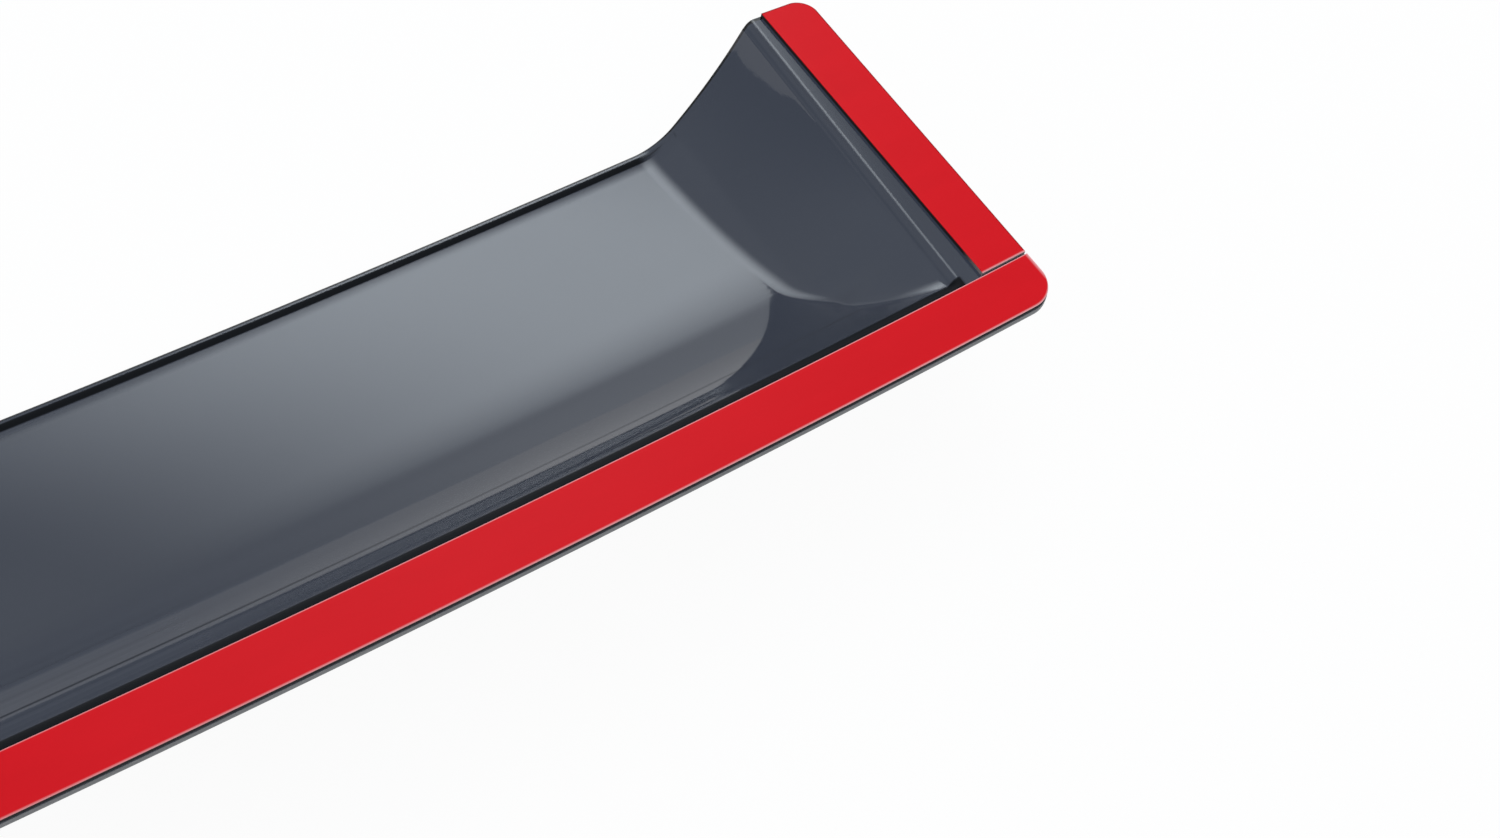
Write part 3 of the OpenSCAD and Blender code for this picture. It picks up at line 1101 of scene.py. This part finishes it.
@dataclass
class Tapes:
    """The long tape and the end tape, each of foam under a liner."""

    plan: Plan
    flange_top: float
    liner_t: float = 0.1
    foam_gap: float = 0.01
    foam_edge: float = 0.06
    liner_edge_w: float = 0.4
    liner_edge_h: float = 0.08

    def build(self) -> list[bpy.types.Object]:
        """Builds the four layers.

        Returns:
            The pieces.
        """
        foam = FoamTape().build()
        liner = ReleaseLiner().build()
        pieces = []
        for strip in Strip:
            pieces.append(Layer(self.plan, strip, f"{strip.value}_foam", f"{strip.value}_foam_tape",
                                "foam_tape", foam, self.flange_top + self.foam_gap,
                                -self.liner_t, self.foam_edge, self.foam_edge).build())
            pieces.append(Layer(self.plan, strip, f"{strip.value}_film", f"{strip.value}_liner",
                                "release_liner", liner, -self.liner_t, 0.0,
                                self.liner_edge_w, self.liner_edge_h).build())
        return pieces


@dataclass(frozen=True)
class SoftPanel:
    """A large soft light panel that faces the deflector, with edges that fade.

    Its plane stands square to the direction towards it. The panel's middle lies off that
    direction by shift_right and shift_up, and it is turned by roll. Each edge fades over its own
    width, and the glow rises evenly from the bottom to the top. An energy of pi times the area
    gives an even panel a brightness of 1, which the glow scales.
    """

    azimuth: float = 58.0
    height: float = 38.0
    distance: float = 1.2
    shift_right: float = -0.163
    shift_up: float = 0.178
    roll: float = 7.3
    width: float = 0.76
    length: float = 1.55
    fade_left: float = 0.41
    fade_right: float = 0.30
    fade_bottom: float = 0.28
    fade_top: float = 0.94
    glow_bottom: float = 2.4
    glow_top: float = 7.4
    color: Rgba = (0.91, 0.98, 1.03, 1.0)

    def build(self) -> bpy.types.Object:
        """Hangs the panel and gives its light the fading edges.

        Returns:
            The light.
        """
        data = bpy.data.lights.new("soft_panel", "AREA")
        data.shape = "RECTANGLE"
        data.size, data.size_y = self.width, self.length
        data.energy = np.pi * self.width * self.length
        graph = Graph(data)
        place = graph.add("ShaderNodeNewGeometry", {}, {}, "Parametric")
        across, along = (graph.add("ShaderNodeSeparateXYZ", {}, {0: place}, i) for i in (0, 1))
        glow = self.glow_bottom + along * (self.glow_top - self.glow_bottom)
        wide, tall = self.width, self.length
        edges = [(across, self.fade_right / wide), (1.0 - across, self.fade_left / wide),
                 (along, self.fade_bottom / tall), (1.0 - along, self.fade_top / tall)]
        for inside, fade in edges:
            glow = glow * inside.step(0.0, fade)
        shine = graph.add("ShaderNodeEmission", {}, {"Color": self.color, "Strength": glow})
        graph.add("ShaderNodeOutputLight", {}, {"Surface": shine})
        light = bpy.data.objects.new("soft_panel", data)
        out = Vector(direction(self.azimuth, self.height))
        right = out.cross(Vector((0, 0, 1))).normalized()
        up = right.cross(out)
        middle = out * self.distance + right * self.shift_right + up * self.shift_up
        turn = Matrix.Rotation(np.radians(self.roll), 3, out)
        axes = Matrix((turn @ -right, turn @ up, out)).transposed()
        light.matrix_world = Matrix.Translation(middle) @ axes.to_4x4()
        bpy.context.scene.collection.objects.link(light)
        return light


@dataclass
class Studio:
    """Pale floor and sky, soft light and the camera."""

    floor_z: float
    sky_color: Rgba = (0.94, 0.98, 1.02, 1.0)
    sky_low: float = 0.40
    sky_high: float = 0.74
    sky_rise: float = 0.5
    low_light: float = 0.56
    low_azimuth: float = 62.0
    low_height: float = 6.0
    low_inner: float = 6.0
    low_outer: float = 20.0
    floor_half: float = 6.0
    floor_matt: float = 0.95
    floor_white: float = 0.95
    camera_at: tuple[float, float, float] = (-0.236424, -0.173196, 0.326887)
    camera_right: tuple[float, float, float] = (0.81852, -0.55374, 0.15298)
    camera_up: tuple[float, float, float] = (0.37796, 0.71961, 0.58250)
    camera_near: float = 0.01
    lens: float = 60.0
    sensor: float = 36.0

    def build_camera(self) -> bpy.types.Object:
        """Places the camera by its right and up directions.

        Returns:
            The camera.
        """
        right = Vector(self.camera_right).normalized()
        up = Vector(self.camera_up)
        up = (up - right * up.dot(right)).normalized()
        data = bpy.data.cameras.new("camera")
        data.lens = self.lens
        data.sensor_width = self.sensor
        data.clip_start = self.camera_near
        camera = bpy.data.objects.new("camera", data)
        turn = Matrix((right, up, right.cross(up))).transposed().to_4x4()
        camera.matrix_world = Matrix.Translation(self.camera_at) @ turn
        bpy.context.scene.collection.objects.link(camera)
        bpy.context.scene.camera = camera
        return camera

    def build_floor(self) -> bpy.types.Object:
        """Lays a large floor under the lowest point, white where it is seen, else pale and matt.

        Returns:
            The floor.
        """
        half = self.floor_half
        mesh = bpy.data.meshes.new("floor")
        corners = [(x, y, self.floor_z)
                   for x, y in ((-half, -half), (half, -half), (half, half), (-half, half))]
        mesh.from_pydata(corners, [], [(0, 1, 2, 3)])
        floor = bpy.data.objects.new("floor", mesh)
        bpy.context.scene.collection.objects.link(floor)
        material, graph = new_material("pale_floor")
        camera, glossy, through = (
            graph.add("ShaderNodeLightPath", {}, {}, name)
            for name in ("Is Camera Ray", "Is Glossy Ray", "Is Transmission Ray"))
        seen = (camera + glossy + through).clamp()
        matt = graph.add("ShaderNodeBsdfDiffuse", {}, {"Color": (*[self.floor_matt] * 3, 1.0)})
        white = graph.add("ShaderNodeEmission", {}, {
            "Color": (1.0, 1.0, 1.0, 1.0), "Strength": 1.0})
        mix = graph.add("ShaderNodeMixShader", {}, {0: seen * self.floor_white, 1: matt, 2: white})
        graph.add("ShaderNodeOutputMaterial", {}, {"Surface": mix})
        mesh.materials.append(material)
        return floor

    def build_world(self) -> None:
        """Sets the surround: a sky that brightens upwards from the horizon, and a low light.

        The low light is even within low_inner degrees of its middle and gone past low_outer.
        """
        world = bpy.data.worlds.new("surround")
        graph = Graph(world)
        towards = graph.add("ShaderNodeTexCoord", {}, {}, "Generated")
        height = graph.add("ShaderNodeSeparateXYZ", {}, {0: towards}, 2)
        near = graph.add("ShaderNodeVectorMath", {"operation": "DOT_PRODUCT"}, {
            0: towards, 1: direction(self.low_azimuth, self.low_height)}, "Value")
        angle = graph.add("ShaderNodeMath", {"operation": "ARCCOSINE"}, {0: near})
        inner, outer = (float(np.radians(a)) for a in (self.low_inner, self.low_outer))
        strength = (height.step(0.0, self.sky_rise, self.sky_low, self.sky_high)
                    + angle.step(inner, outer, self.low_light, 0.0))
        sky = graph.add("ShaderNodeBackground", {}, {"Color": self.sky_color, "Strength": strength})
        graph.add("ShaderNodeOutputWorld", {}, {"Surface": sky})
        bpy.context.scene.world = world

    def build(self) -> None:
        """Builds the whole studio."""
        self.build_camera()
        self.build_floor()
        self.build_world()
        SoftPanel().build()


def main() -> None:
    """Builds the deflector piece by piece, and the studio round it."""
    logging.basicConfig(level=logging.INFO, format="%(name)s: %(message)s")
    view = bpy.context.scene.view_settings
    view.view_transform = "Standard"
    low, high = (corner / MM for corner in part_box("visor_shell"))
    plan = Plan(front_x=low.x, rear_x=high.x, overall_w=OVERALL_W)
    section = Section(plan, flange_top=high.z)
    pieces = [Shell(section).build(), *Tapes(plan, high.z).build()]
    Studio(floor_z=low.z * MM - FLOOR_GAP).build()
    for piece in pieces:
        log.info("%s: %d points, %d faces", piece.name, len(piece.data.vertices),
                 len(piece.data.polygons))


if __name__ == "__main__":
    main()
